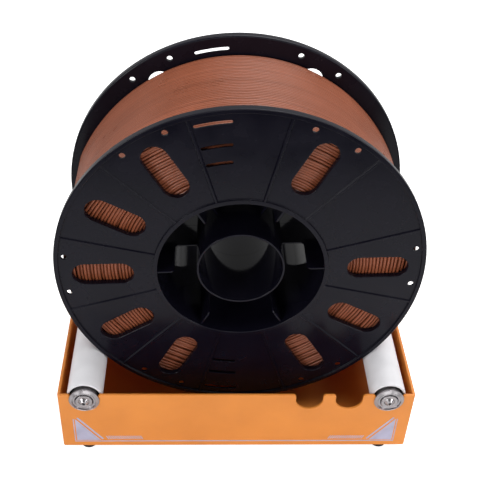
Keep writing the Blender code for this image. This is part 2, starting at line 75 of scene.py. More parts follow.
# Studio floor and light
# A pale table top in a white tent, with a wide soft lamp above, a low one in front and one at
# each side. Out of the picture, a dark curtain hangs behind the camera and a dark cloth lies
# on the table in front and at both sides. Table and tent look white to the lens.
FLOOR_SIZE = 4.0
FLOOR_COLOUR = (0.80, 0.80, 0.80)
FLOOR_ROUGHNESS = 0.6
SEEN_FLOOR_STRENGTH = 0.80
DARK_COLOUR = (0.015, 0.015, 0.015)
DARK_ROUGHNESS = 0.9
CLOTH_CORNERS = ((-1.2, -1.6, 0.001), (1.2, -1.6, 0.001), (1.2, 0.3, 0.001), (0.27, 0.3, 0.001),
                 (0.27, -0.315, 0.001), (-0.27, -0.315, 0.001), (-0.27, 0.3, 0.001), (-1.2, 0.3, 0.001))
CURTAIN_CORNERS = ((-1.6, -1.5, 0.40), (1.6, -1.5, 0.40), (1.6, -0.9, 2.4), (-1.6, -0.9, 2.4))
TENT_STRENGTH = 0.62
SEEN_TENT_STRENGTH = 1.0
LAMP_AIM = Vector((0.0, 0.0, 0.08))
LAMPS = {
    "top_lamp": {"place": (0.21, 0.20, 0.95), "size": 0.70, "power": 6.8},
    "low_lamp": {"place": (0.05, -1.30, 0.22), "size": 0.80, "power": 4.8},
    "left_lamp": {"place": (-1.05, -0.95, 0.60), "size": 0.50, "power": 6.7},
    "right_lamp": {"place": (1.05, -0.95, 0.60), "size": 0.50, "power": 4.7},
}


def bare_mesh(name, bm, smooth_angle=None):
    """A mesh object from bm, smooth where its faces meet at less than smooth_angle."""
    mesh = bpy.data.meshes.new(name)
    bm.to_mesh(mesh)
    bm.free()
    if smooth_angle is not None:
        mesh.shade_smooth()
        mesh.set_sharp_from_angle(angle=smooth_angle)
    piece = bpy.data.objects.new(name, mesh)
    bpy.context.scene.collection.objects.link(piece)
    return piece


def new_material(name):
    material = bpy.data.materials.new(name)
    material.use_nodes = True
    return material, material.node_tree, material.node_tree.nodes["Principled BSDF"]


def table_top():
    material, tree, shader = new_material("pale_table_top")
    shader.inputs["Base Color"].default_value = (*FLOOR_COLOUR, 1.0)
    shader.inputs["Roughness"].default_value = FLOOR_ROUGHNESS
    shader.inputs["Specular IOR Level"].default_value = 0.0
    glow = tree.nodes.new("ShaderNodeEmission")
    glow.inputs["Strength"].default_value = SEEN_FLOOR_STRENGTH
    nothing = tree.nodes.new("ShaderNodeEmission")
    nothing.inputs["Strength"].default_value = 0.0
    path = tree.nodes.new("ShaderNodeLightPath")
    seen = tree.nodes.new("ShaderNodeMath")
    seen.operation = "MAXIMUM"
    tree.links.new(path.outputs["Is Camera Ray"], seen.inputs[0])
    tree.links.new(path.outputs["Is Transmission Ray"], seen.inputs[1])
    choice = tree.nodes.new("ShaderNodeMixShader")
    tree.links.new(seen.outputs[0], choice.inputs[0])
    tree.links.new(nothing.outputs[0], choice.inputs[1])
    tree.links.new(glow.outputs[0], choice.inputs[2])
    both = tree.nodes.new("ShaderNodeAddShader")
    tree.links.new(shader.outputs[0], both.inputs[0])
    tree.links.new(choice.outputs[0], both.inputs[1])
    tree.links.new(both.outputs[0], tree.nodes["Material Output"].inputs["Surface"])
    return material


floor_mesh = bmesh.new()
bmesh.ops.create_grid(floor_mesh, x_segments=1, y_segments=1, size=FLOOR_SIZE / 2)
floor = bare_mesh("table_top", floor_mesh)
floor.data.materials.append(table_top())
dark_finish, _, dark_shader = new_material("dark_cloth")
dark_shader.inputs["Base Color"].default_value = (*DARK_COLOUR, 1.0)
dark_shader.inputs["Roughness"].default_value = DARK_ROUGHNESS
dark_shader.inputs["Specular IOR Level"].default_value = 0.0
for name, corners in (("dark_cloth", CLOTH_CORNERS), ("dark_curtain", CURTAIN_CORNERS)):
    sheet_mesh = bmesh.new()
    sheet_mesh.faces.new([sheet_mesh.verts.new(corner) for corner in corners])
    dark_sheet = bare_mesh(name, sheet_mesh)
    dark_sheet.data.materials.append(dark_finish)

world = bpy.data.worlds.new("white_tent")
bpy.context.scene.world = world
world.use_nodes = True
tent = world.node_tree
tent_light = tent.nodes["Background"]
tent_light.inputs["Strength"].default_value = TENT_STRENGTH
tent_seen = tent.nodes.new("ShaderNodeBackground")
tent_seen.inputs["Strength"].default_value = SEEN_TENT_STRENGTH
for background in (tent_light, tent_seen):
    background.inputs["Color"].default_value = (1.0, 1.0, 1.0, 1.0)
tent_path = tent.nodes.new("ShaderNodeLightPath")
tent_mix = tent.nodes.new("ShaderNodeMixShader")
tent.links.new(tent_path.outputs["Is Camera Ray"], tent_mix.inputs[0])
tent.links.new(tent_light.outputs[0], tent_mix.inputs[1])
tent.links.new(tent_seen.outputs[0], tent_mix.inputs[2])
tent.links.new(tent_mix.outputs[0], tent.nodes["World Output"].inputs["Surface"])

for lamp_name, lamp in LAMPS.items():
    light = bpy.data.lights.new(lamp_name, "AREA")
    light.energy = lamp["power"]
    light.size = lamp["size"]
    light_object = bpy.data.objects.new(lamp_name, light)
    light_object.location = lamp["place"]
    beam = LAMP_AIM - Vector(lamp["place"])
    light_object.rotation_euler = beam.to_track_quat("-Z", "Y").to_euler()
    bpy.context.scene.collection.objects.link(light_object)

# Tray
# One box of bent steel sheet, open at the top and welded at its corners, with notches for
# the roller bearings in the front and back walls. It is powder coated in satin orange.
SHEET_THICKNESS = 0.0015
BEND_RADIUS = 0.0011
SHEET_EDGE_RADIUS = 0.00028
SHEET_EDGE_ANGLE = math.radians(50)
SHEET_SMOOTH_ANGLE = math.radians(40)
AXLE_DROP = 0.0038
BEARING_RADIUS = 0.0075
NOTCH_PITCH = 0.0226
NOTCH_GAP = 0.0002
NOTCH_STEPS = 32
NOTCH_MOUTH_RADIUS = 0.0018
NOTCH_MOUTH_STEPS = 6
RIGHT_NOTCH_COUNT = 3
OVERRUN = 0.001
COAT_LIGHT = (0.82, 0.280, 0.044)
COAT_DARK = (0.73, 0.240, 0.034)
COAT_ROUGHNESS = (0.36, 0.50)
COAT_GRAIN = (0.0011, 0.035, 0.000035)
MASK_LOW = 0.33
MASK_HIGH = 0.67


def surface_texture():
    """Node group: a fine grain for bumps and soft patches for colour and gloss."""
    group = bpy.data.node_groups.new("surface_texture", "ShaderNodeTree")
    for label in ("Grain Size", "Patch Size"):
        group.interface.new_socket(label, in_out="INPUT", socket_type="NodeSocketFloat")
    for label in ("Grain", "Patches"):
        group.interface.new_socket(label, in_out="OUTPUT", socket_type="NodeSocketFloat")
    start = group.nodes.new("NodeGroupInput")
    end = group.nodes.new("NodeGroupOutput")
    place = group.nodes.new("ShaderNodeTexCoord")
    for size, result, detail in (("Grain Size", "Grain", 2.0), ("Patch Size", "Patches", 4.0)):
        scale = group.nodes.new("ShaderNodeMath")
        scale.operation = "DIVIDE"
        scale.inputs[0].default_value = 1.0
        group.links.new(start.outputs[size], scale.inputs[1])
        pattern = group.nodes.new("ShaderNodeTexNoise")
        pattern.inputs["Detail"].default_value = detail
        group.links.new(place.outputs["Object"], pattern.inputs["Vector"])
        group.links.new(scale.outputs[0], pattern.inputs["Scale"])
        group.links.new(pattern.outputs["Fac"], end.inputs[result])
    return group


SURFACE_TEXTURE = surface_texture()


def place_group(tree, group, **values):
    """One use of a node group; a value's name is the socket's, with _ for spaces."""
    node = tree.nodes.new("ShaderNodeGroup")
    node.node_tree = group
    for label, value in values.items():
        node.inputs[label.replace("_", " ")].default_value = value
    return node


def tint(tree, shader, mask, dark, light):
    """Colours the shader from dark to light as mask goes from a third to two thirds."""
    ramp = tree.nodes.new("ShaderNodeValToRGB")
    ramp.color_ramp.elements[0].position = MASK_LOW
    ramp.color_ramp.elements[1].position = MASK_HIGH
    ramp.color_ramp.elements[0].color = (*dark, 1.0)
    ramp.color_ramp.elements[1].color = (*light, 1.0)
    tree.links.new(mask, ramp.inputs["Fac"])
    tree.links.new(ramp.outputs["Color"], shader.inputs["Base Color"])


def vary_gloss(tree, shader, mask, roughness):
    spread = tree.nodes.new("ShaderNodeMapRange")
    spread.inputs["From Min"].default_value = MASK_LOW
    spread.inputs["From Max"].default_value = MASK_HIGH
    spread.inputs["To Min"].default_value = roughness[0]
    spread.inputs["To Max"].default_value = roughness[1]
    tree.links.new(mask, spread.inputs["Value"])
    tree.links.new(spread.outputs["Result"], shader.inputs["Roughness"])


def emboss(tree, shader, height, depth):
    """Raises the shader's surface by up to depth, in metres, where height is 1."""
    bump = tree.nodes.new("ShaderNodeBump")
    bump.inputs["Distance"].default_value = depth
    tree.links.new(height, bump.inputs["Height"])
    tree.links.new(bump.outputs["Normal"], shader.inputs["Normal"])


def grained(name, dark, light, roughness, grain):
    """A material with patchy colour and gloss and a fine grain; grain holds the size of the
    grain, the size of the patches and the height of the grain."""
    grain_size, patch_size, grain_height = grain
    material, tree, shader = new_material(name)
    texture = place_group(tree, SURFACE_TEXTURE, Grain_Size=grain_size, Patch_Size=patch_size)
    tint(tree, shader, texture.outputs["Patches"], dark, light)
    vary_gloss(tree, shader, texture.outputs["Patches"], roughness)
    emboss(tree, shader, texture.outputs["Grain"], grain_height)
    return material


def loft(bm, rings):
    """A closed solid through rings of as many points each, with flat ends."""
    levels = [[bm.verts.new(point) for point in ring] for ring in rings]
    count = len(rings[0])
    for low, high in zip(levels, levels[1:]):
        for i in range(count):
            after = (i + 1) % count
            bm.faces.new((low[i], low[after], high[after], high[i]))
    bm.faces.new(levels[0][::-1])
    bm.faces.new(levels[-1])


def arc(centre, radius, start, end, steps):
    angles = [start + (end - start) * i / steps for i in range(steps + 1)]
    return [(centre[0] + radius * math.cos(a), centre[1] + radius * math.sin(a)) for a in angles]


def notch_outline(radius):
    """A U that holds a bearing, with round corners at its mouth, open upwards."""
    mouth = radius + NOTCH_MOUTH_RADIUS
    shoulder = AXLE_DROP - NOTCH_MOUTH_RADIUS
    right = arc((mouth, shoulder), NOTCH_MOUTH_RADIUS, math.pi, math.pi / 2, NOTCH_MOUTH_STEPS)
    left = arc((-mouth, shoulder), NOTCH_MOUTH_RADIUS, math.pi / 2, 0.0, NOTCH_MOUTH_STEPS)
    bowl = arc((0.0, 0.0), radius, math.pi, 2 * math.pi, NOTCH_STEPS)
    above = [(mouth, AXLE_DROP + OVERRUN), (-mouth, AXLE_DROP + OVERRUN)]
    return bowl + right + above + left


def carve(piece, bm, operation):
    """Applies a Boolean of the solids in bm to piece."""
    bmesh.ops.recalc_face_normals(bm, faces=bm.faces)
    tool = bare_mesh("carving_tool", bm)
    step = piece.modifiers.new("carve", "BOOLEAN")
    step.object = tool
    step.operation = operation
    step.solver = "EXACT"
    settle(piece)
    bpy.data.objects.remove(tool)


def settle(piece):
    """Applies a piece's modifiers."""
    bpy.context.view_layer.update()
    graph = bpy.context.evaluated_depsgraph_get()
    piece.data = bpy.data.meshes.new_from_object(piece.evaluated_get(graph))
    piece.modifiers.clear()


def even_normals(piece):
    """Keeps a piece's flat faces evenly lit right up to their round edges."""
    step = piece.modifiers.new("even_normals", "WEIGHTED_NORMAL")
    step.keep_sharp = True
    settle(piece)


def mount_piece(piece, material, slot, body, *nodes):
    """Gives a piece its finish and its body, and hides the CAD nodes that it stands for."""
    piece.data.materials.clear()
    piece.data.materials.append(material)
    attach(piece, body)
    if nodes:
        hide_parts(*nodes)


tray_low, tray_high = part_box("tray")
roller_low, roller_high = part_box("left_roller_sleeve")
axle_x = -(roller_low.x + roller_high.x) / 2
axle_z = tray_high.z - AXLE_DROP

tray_form = bmesh.new()
bmesh.ops.create_cube(tray_form, size=1.0)
bmesh.ops.transform(tray_form, matrix=Matrix.Translation((tray_low + tray_high) / 2)
                    @ Matrix.Diagonal((*(tray_high - tray_low), 1.0)), verts=tray_form.verts)
bmesh.ops.delete(tray_form, geom=[f for f in tray_form.faces if f.normal.z > 0.5], context="FACES_ONLY")
tray = bare_mesh("coated_tray", tray_form)
sheet = tray.modifiers.new("sheet", "SOLIDIFY")
sheet.thickness = SHEET_THICKNESS
sheet.offset = -1.0
sheet.use_even_offset = True
sheet.bevel_convex = 1.0
bends = tray.modifiers.new("bends", "BEVEL")
bends.limit_method = "WEIGHT"
bends.width = BEND_RADIUS
bends.segments = 5
settle(tray)
notches = bmesh.new()
notch_radius = BEARING_RADIUS + NOTCH_GAP
for i in range(-1, RIGHT_NOTCH_COUNT):
    notch_x = -axle_x if i < 0 else axle_x - i * NOTCH_PITCH
    for wall in (-1, 1):
        faces = (wall * (tray_high.y + OVERRUN), wall * (tray_high.y - SHEET_THICKNESS - OVERRUN))
        loft(notches, [[(notch_x + x, y, axle_z + z) for x, z in notch_outline(notch_radius)]
                       for y in faces])
carve(tray, notches, "DIFFERENCE")
edges = tray.modifiers.new("sheet_edges", "BEVEL")
edges.limit_method = "ANGLE"
edges.angle_limit = SHEET_EDGE_ANGLE
edges.width = SHEET_EDGE_RADIUS
edges.segments = 3
settle(tray)
tray.data.shade_smooth()
tray.data.set_sharp_from_angle(angle=SHEET_SMOOTH_ANGLE)
even_normals(tray)
powder_coat = grained("orange_powder_coat", COAT_DARK, COAT_LIGHT, COAT_ROUGHNESS, COAT_GRAIN)
mount_piece(tray, powder_coat, "orange_coat", "stand", "tray")

# Print on the front wall
# Plain silver ornament, screen printed on the coat: a triangle with a border in each lower
# corner, a stripe from one to the other, and a hatched bar over each end of the stripe.
PRINT_THICKNESS = 0.00003
PRINT_SINK = 0.00002
PRINT_DARK = (0.40, 0.39, 0.52)
PRINT_LIGHT = (0.48, 0.47, 0.62)
PRINT_ROUGHNESS = (0.40, 0.55)
PRINT_GRAIN = (0.0006, 0.008, 0.00001)
TRIANGLE_OUTER_X = 0.0922
TRIANGLE_INNER_X = 0.0785
TRIANGLE_BOTTOM = 0.0054
TRIANGLE_TOP = 0.0240
BORDER_GAP = 0.0007
BORDER_WIDTH = 0.0005
BAND_GAP = 0.0011
BAND_WIDTH = 0.0011
STRIPE_HEIGHT = 0.0045
STRIPE_WIDTH = 0.0008
HATCH_START_X = 0.0540
HATCH_END_X = 0.0755
HATCH_BOTTOM = 0.0063
HATCH_TOP = 0.0091
HATCH_PITCH = 0.0013
HATCH_LINE = 0.00065


def print_shape(bm, outline, side):
    """A thin patch of ink from (x, height) points, mirrored to one side of the wall."""
    front = tray_low.y
    depths = (front + PRINT_SINK, front - PRINT_THICKNESS)
    points = [(side * x, z + tray_low.z) for x, z in outline]
    if side < 0:
        points.reverse()
    loft(bm, [[(x, y, z) for x, z in points] for y in depths])


ink = bmesh.new()
slope = Vector((TRIANGLE_INNER_X - TRIANGLE_OUTER_X, TRIANGLE_BOTTOM - TRIANGLE_TOP))
outward = Vector((slope.y, -slope.x)).normalized()
peak = Vector((TRIANGLE_OUTER_X, TRIANGLE_TOP))
foot = Vector((TRIANGLE_INNER_X, TRIANGLE_BOTTOM))
for side in (-1, 1):
    print_shape(ink, [(TRIANGLE_OUTER_X, TRIANGLE_BOTTOM), tuple(peak), tuple(foot)], side)
    near = outward * BAND_GAP
    far = outward * (BAND_GAP + BAND_WIDTH)
    print_shape(ink, [tuple(peak + near), tuple(peak + far), tuple(foot + far), tuple(foot + near)], side)
    edge = TRIANGLE_OUTER_X + BORDER_GAP
    far_edge = edge + BORDER_WIDTH
    base = TRIANGLE_BOTTOM - BORDER_GAP
    print_shape(ink, [(edge, base), (far_edge, base),
                      (far_edge, TRIANGLE_TOP), (edge, TRIANGLE_TOP)], side)
    low = STRIPE_HEIGHT - STRIPE_WIDTH / 2
    high = STRIPE_HEIGHT + STRIPE_WIDTH / 2
    print_shape(ink, [(0.0, low), (far_edge, low), (far_edge, high), (0.0, high)], side)
    lean = (HATCH_TOP - HATCH_BOTTOM) / 2
    count = int((HATCH_END_X - HATCH_START_X) / HATCH_PITCH)
    for i in range(count):
        x = HATCH_START_X + i * HATCH_PITCH
        print_shape(ink, [(x, HATCH_BOTTOM), (x + HATCH_LINE, HATCH_BOTTOM),
                          (x + HATCH_LINE + lean, HATCH_TOP), (x + lean, HATCH_TOP)], side)
bmesh.ops.recalc_face_normals(ink, faces=ink.faces)
front_print = bare_mesh("front_wall_print", ink)
silver_ink = grained("silver_ink", PRINT_DARK, PRINT_LIGHT, PRINT_ROUGHNESS, PRINT_GRAIN)
mount_piece(front_print, silver_ink, "orange_coat", "stand")

# Feet
# Four moulded rubber feet under the tray, near its corners, a little wider at the top than
# where they stand.
FOOT_EDGE_RADIUS = 0.0007
FOOT_TAPER = 0.0006
FOOT_STEPS = 64
RUBBER_DARK = (0.010, 0.0095, 0.0095)
RUBBER_LIGHT = (0.020, 0.019, 0.018)
RUBBER_ROUGHNESS = (0.70, 0.88)
RUBBER_GRAIN = (0.0005, 0.004, 0.00003)
SMOOTH_ANGLE = math.radians(38)


def eased(corners, steps=4):
    """An outline of (x, y, radius) corners with each corner rounded to its radius."""
    outline = []
    for i, (x, y, radius) in enumerate(corners):
        if radius == 0:
            outline.append((x, y))
            continue
        here = Vector((x, y))
        back = (Vector(corners[i - 1][:2]) - here).normalized()
        on = (Vector(corners[(i + 1) % len(corners)][:2]) - here).normalized()
        half = back.angle(on) / 2
        centre = here + (back + on).normalized() * radius / math.sin(half)
        first = here + back * radius / math.tan(half) - centre
        last = here + on * radius / math.tan(half) - centre
        start = math.atan2(first.y, first.x)
        sweep = (math.atan2(last.y, last.x) - start + math.pi) % (2 * math.pi) - math.pi
        outline += arc(centre, radius, start, start + sweep, steps)
    return outline


def lathe(outline, steps, upright=False):
    """A ring or a solid turned about Y, or about Z if upright, from (radius, height) points."""
    bm = bmesh.new()
    axis = (0.0, 0.0, 1.0) if upright else (0.0, 1.0, 0.0)
    if upright:
        places = [(r, 0.0, h) for r, h in outline]
    else:
        places = [(r, h, 0.0) for r, h in outline]
    corners = [bm.verts.new(place) for place in places]
    lines = [bm.edges.new(pair) for pair in zip(corners, corners[1:] + corners[:1])]
    bmesh.ops.spin(bm, geom=corners + lines, cent=(0.0, 0.0, 0.0), axis=axis,
                   angle=2 * math.pi, steps=steps, use_merge=True)
    bmesh.ops.remove_doubles(bm, verts=bm.verts, dist=1e-7)
    bmesh.ops.recalc_face_normals(bm, faces=bm.faces)
    return bm


def turned(name, outline, steps, centre, upright=False):
    piece = bare_mesh(name, lathe(outline, steps, upright), SMOOTH_ANGLE)
    piece.location = centre
    return piece


rubber = grained("black_rubber", RUBBER_DARK, RUBBER_LIGHT, RUBBER_ROUGHNESS, RUBBER_GRAIN)
for end in ("front", "back"):
    for side in ("left", "right"):
        node = f"foot_{end}_{side}"
        low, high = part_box(node)
        top_radius = (high.x - low.x) / 2
        height = high.z - low.z
        outline = eased([(0.0, 0.0, 0), (top_radius - FOOT_TAPER, 0.0, FOOT_EDGE_RADIUS),
                         (top_radius, height, FOOT_EDGE_RADIUS / 2), (0.0, height, 0)])
        rubber_foot = turned(f"rubber_{node}", outline, FOOT_STEPS,
                             ((low.x + high.x) / 2, (low.y + high.y) / 2, low.z), upright=True)
        mount_piece(rubber_foot, rubber, "rubber", "stand", node)

# Roller bearings
# Four flanged ball bearings of 6 x 15 x 5 mm, pressed on the shafts' ends and lying in the
# tray's notches with their flanges outside. Ground rings, seven balls and pressed shields.
BEARING_STEPS = 96
EDGE_STEPS = 3
FLANGE_STAND_OUT = 0.001
FLANGE_WIDTH = 0.0012
RING_CHAMFER = 0.00025
SHIELD_SEAT_RADIUS = 0.0068
SHIELD_SEAT_DEPTH = 0.0007
SHIELD_OUTER_RADIUS = 0.0062
SHIELD_INNER_RADIUS = 0.00505
SHIELD_THICKNESS = 0.0003
SHIELD_RECESS = 0.0004
SHIELD_LIP = 0.0003
SHIELD_MARGIN = 0.0003
SHIELD_EDGE_RADIUS = 0.00012
RING_WALL = 0.00135
INNER_RING_EDGE_RADIUS = 0.00018
COLLAR_RADIUS = 0.0047
COLLAR_STAND_OUT = 0.0002
COLLAR_LENGTH = 0.0008
BALL_COUNT = 7
BALL_RADIUS = 0.00119
BALL_SEGMENTS = 20
BALL_RINGS = 12
RACE_GAP = 0.00005
RACE_STEPS = 10
RIBBON_WALL = 0.0004
RIBBON_WIDTH = 0.0012
RIBBON_STEPS = 70
STEEL_LIGHT = (0.52, 0.495, 0.51)
STEEL_DARK = (0.37, 0.35, 0.36)
STEEL_ROUGHNESS = (0.26, 0.36)
SHIELD_LIGHT = (0.52, 0.50, 0.52)
SHIELD_DARK = (0.38, 0.365, 0.38)
SHIELD_ROUGHNESS = (0.24, 0.34)
BALL_ROUGHNESS = (0.08, 0.14)
STEEL_GRAIN_SIZE = 0.0004
STEEL_PATCH_SIZE = 0.003
LATHE_LINE_SPACE = 0.00016
GROUND_LINE_HEIGHT = 0.0000012
FINE_LINE_HEIGHT = 0.000001


def lathe_lines():
    """Node group: fine rings about the piece's own Y axis, as a tool or a grinder leaves."""
    group = bpy.data.node_groups.new("lathe_lines", "ShaderNodeTree")
    group.interface.new_socket("Line Space", in_out="INPUT", socket_type="NodeSocketFloat")
    group.interface.new_socket("Lines", in_out="OUTPUT", socket_type="NodeSocketFloat")
    group.interface.new_socket("Radius", in_out="OUTPUT", socket_type="NodeSocketFloat")
    start = group.nodes.new("NodeGroupInput")
    end = group.nodes.new("NodeGroupOutput")
    place = group.nodes.new("ShaderNodeTexCoord")
    apart = group.nodes.new("ShaderNodeSeparateXYZ")
    flat = group.nodes.new("ShaderNodeCombineXYZ")
    radius = group.nodes.new("ShaderNodeVectorMath")
    radius.operation = "LENGTH"
    across = group.nodes.new("ShaderNodeCombineXYZ")
    scale = group.nodes.new("ShaderNodeMath")
    scale.operation = "DIVIDE"
    scale.inputs[0].default_value = 1.0
    pattern = group.nodes.new("ShaderNodeTexNoise")
    pattern.inputs["Detail"].default_value = 1.0
    group.links.new(place.outputs["Object"], apart.inputs[0])
    group.links.new(apart.outputs["X"], flat.inputs["X"])
    group.links.new(apart.outputs["Z"], flat.inputs["Z"])
    group.links.new(flat.outputs[0], radius.inputs[0])
    group.links.new(radius.outputs["Value"], across.inputs["X"])
    group.links.new(apart.outputs["Y"], across.inputs["Y"])
    group.links.new(across.outputs[0], pattern.inputs["Vector"])
    group.links.new(start.outputs["Line Space"], scale.inputs[1])
    group.links.new(scale.outputs[0], pattern.inputs["Scale"])
    group.links.new(pattern.outputs["Fac"], end.inputs["Lines"])
    group.links.new(radius.outputs["Value"], end.inputs["Radius"])
    return group


LATHE_LINES = lathe_lines()


def machined_steel(name, dark, light, roughness, line_height):
    material, tree, shader = new_material(name)
    shader.inputs["Metallic"].default_value = 1.0
    texture = place_group(tree, SURFACE_TEXTURE, Grain_Size=STEEL_GRAIN_SIZE, Patch_Size=STEEL_PATCH_SIZE)
    lines = place_group(tree, LATHE_LINES, Line_Space=LATHE_LINE_SPACE)
    tint(tree, shader, lines.outputs["Lines"], dark, light)
    vary_gloss(tree, shader, texture.outputs["Patches"], roughness)
    emboss(tree, shader, lines.outputs["Lines"], line_height)
    return material


def ball_set(name, pitch_radius, centre):
    """A bearing's balls in a ribbon cage that runs round between the rings."""
    half = RIBBON_WIDTH / 2
    inside = pitch_radius - RIBBON_WALL / 2
    outside = pitch_radius + RIBBON_WALL / 2
    ribbon = [(outside, half), (outside, -half), (inside, -half), (inside, half)]
    cage = turned(name, ribbon, RIBBON_STEPS, centre)
    balls = bmesh.new()
    for i in range(BALL_COUNT):
        turn = Matrix.Rotation(2 * math.pi * i / BALL_COUNT, 4, "Y")
        place = Matrix.Translation(centre) @ turn @ Matrix.Translation((pitch_radius, 0.0, 0.0))
        bmesh.ops.create_uvsphere(balls, u_segments=BALL_SEGMENTS, v_segments=BALL_RINGS,
                                  radius=BALL_RADIUS, matrix=place)
    carve(cage, balls, "UNION")
    cage.data.shade_smooth()
    cage.data.set_sharp_from_angle(angle=SMOOTH_ANGLE)
    return cage


ring_steel = machined_steel("ground_ring_steel", STEEL_DARK, STEEL_LIGHT, STEEL_ROUGHNESS,
                            GROUND_LINE_HEIGHT)
shield_steel = machined_steel("pressed_shield_steel", SHIELD_DARK, SHIELD_LIGHT, SHIELD_ROUGHNESS,
                              FINE_LINE_HEIGHT)
ball_steel = machined_steel("polished_ball_steel", STEEL_DARK, STEEL_LIGHT, BALL_ROUGHNESS,
                            FINE_LINE_HEIGHT)
for side in ("left", "right"):
    for end, way in (("front", -1), ("back", 1)):
        label = f"{side}_{end}_bearing"
        low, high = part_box(f"{label}_outer_ring")
        flange = (high.x - low.x) / 2
        body_radius = flange - FLANGE_STAND_OUT
        half = (high.y - low.y) / 2
        centre = Vector(((low.x + high.x) / 2, (low.y + high.y) / 2, axle_z))
        flange_seat = half - FLANGE_WIDTH
        inner_low, inner_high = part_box(f"{label}_inner_ring")
        shaft_seat = (inner_high.x - inner_low.x) / 2 - RING_WALL
        pitch = (shaft_seat + body_radius) / 2
        groove = BALL_RADIUS + RACE_GAP
        shoulder = body_radius - RING_WALL
        reach = math.sqrt(groove ** 2 - (shoulder - pitch) ** 2)
        swing = math.atan2(reach, shoulder - pitch)
        seat_floor = half - SHIELD_SEAT_DEPTH
        outer_race = arc((pitch, 0.0), groove, -swing, swing, RACE_STEPS)
        outline = eased([(flange, half, RING_CHAMFER), (flange, flange_seat, RING_CHAMFER),
                         (body_radius, flange_seat, 0), (body_radius, -half, RING_CHAMFER * 2),
                         (SHIELD_SEAT_RADIUS, -half, RING_CHAMFER), (SHIELD_SEAT_RADIUS, -seat_floor, 0),
                         (shoulder, -seat_floor, 0)], EDGE_STEPS)
        outline += outer_race
        outline += [(shoulder, seat_floor), (SHIELD_SEAT_RADIUS, seat_floor), (SHIELD_SEAT_RADIUS, half)]
        facing = [(r, way * h) for r, h in outline]
        outer_ring = turned(f"{label}_flanged_ring", facing, BEARING_STEPS, centre)
        mount_piece(outer_ring, ring_steel, "steel", "stand", f"{label}_outer_ring")

        inner_radius = shaft_seat + RING_WALL
        inner_swing = math.pi - math.atan2(reach, pitch - inner_radius)
        inner_race = arc((pitch, 0.0), groove, inner_swing, 2 * math.pi - inner_swing, RACE_STEPS)
        outline = inner_race + eased([(inner_radius, -half, INNER_RING_EDGE_RADIUS),
                                      (shaft_seat, -half, INNER_RING_EDGE_RADIUS),
                                      (shaft_seat, half + COLLAR_STAND_OUT, INNER_RING_EDGE_RADIUS),
                                      (COLLAR_RADIUS, half + COLLAR_STAND_OUT, INNER_RING_EDGE_RADIUS),
                                      (COLLAR_RADIUS, half - COLLAR_LENGTH, 0),
                                      (inner_radius, half - COLLAR_LENGTH, 0)], EDGE_STEPS)
        facing = [(r, way * h) for r, h in outline]
        inner_ring = turned(f"{label}_bore_ring", facing, BEARING_STEPS, centre)
        mount_piece(inner_ring, ring_steel, "steel", f"{side}_roller", f"{label}_inner_ring")

        top = half - SHIELD_RECESS
        under = top - SHIELD_THICKNESS
        washer = eased([(SHIELD_OUTER_RADIUS, under, 0), (SHIELD_OUTER_RADIUS, top, SHIELD_EDGE_RADIUS),
                        (SHIELD_OUTER_RADIUS - SHIELD_MARGIN, top, 0),
                        (SHIELD_INNER_RADIUS + SHIELD_MARGIN, top, 0),
                        (SHIELD_INNER_RADIUS, top - SHIELD_LIP, 0),
                        (SHIELD_INNER_RADIUS, under - SHIELD_LIP, 0),
                        (SHIELD_INNER_RADIUS + SHIELD_MARGIN, under, 0)], EDGE_STEPS)
        for name, sign in (("outer", way), ("inner", -way)):
            facing = [(r, sign * h) for r, h in washer]
            shield = turned(f"{label}_{name}_cover", facing, BEARING_STEPS, centre)
            mount_piece(shield, shield_steel, "shield_steel", "stand", f"{label}_{name}_shield")
        balls = ball_set(f"{label}_balls", pitch, centre)
        mount_piece(balls, ball_steel, "ball_steel", f"{side}_{end}_balls", f"{label}_ball_cage")

# Rollers
# A steel shaft runs through each roller, and its centre-drilled, coned ends stand out past the
# bearings. Two black plugs, set back from the ends, carry a white plastic sleeve on it.
CONE_RADIUS = 0.0029
CONE_TIP_RADIUS = 0.0012
CONE_HEIGHT = 0.0017
CONE_STAND_OUT = 0.0015
CONE_EDGE_RADIUS = 0.0005
DRILL_RADIUS = 0.00085
DRILL_DEPTH = 0.0030
DRILL_EDGE_RADIUS = 0.00008
SHAFT_ROUGHNESS = (0.22, 0.30)
SLEEVE_WALL = 0.0013
SLEEVE_EDGE_RADIUS = 0.00035
SLEEVE_STEPS = 128
SLEEVE_DARK = (0.86, 0.85, 0.88)
SLEEVE_LIGHT = (0.92, 0.91, 0.94)
SLEEVE_ROUGHNESS = (0.50, 0.60)
SLEEVE_GRAIN = (0.0009, 0.012, 0.000012)
PLUG_DARK = (0.008, 0.008, 0.009)
PLUG_LIGHT = (0.016, 0.016, 0.018)
PLUG_ROUGHNESS = (0.45, 0.60)
PLUG_GRAIN = (0.0004, 0.004, 0.00001)
PLUG_STEPS = 72
PLUG_LENGTH = 0.008
PLUG_GAP = 0.0001
PLUG_EDGE_RADIUS = 0.0003
PLUG_BOSS_LENGTH = 0.0017
PLUG_BOSS_RADIUS = 0.0041
PLUG_BOSS_EDGE_RADIUS = 0.0002

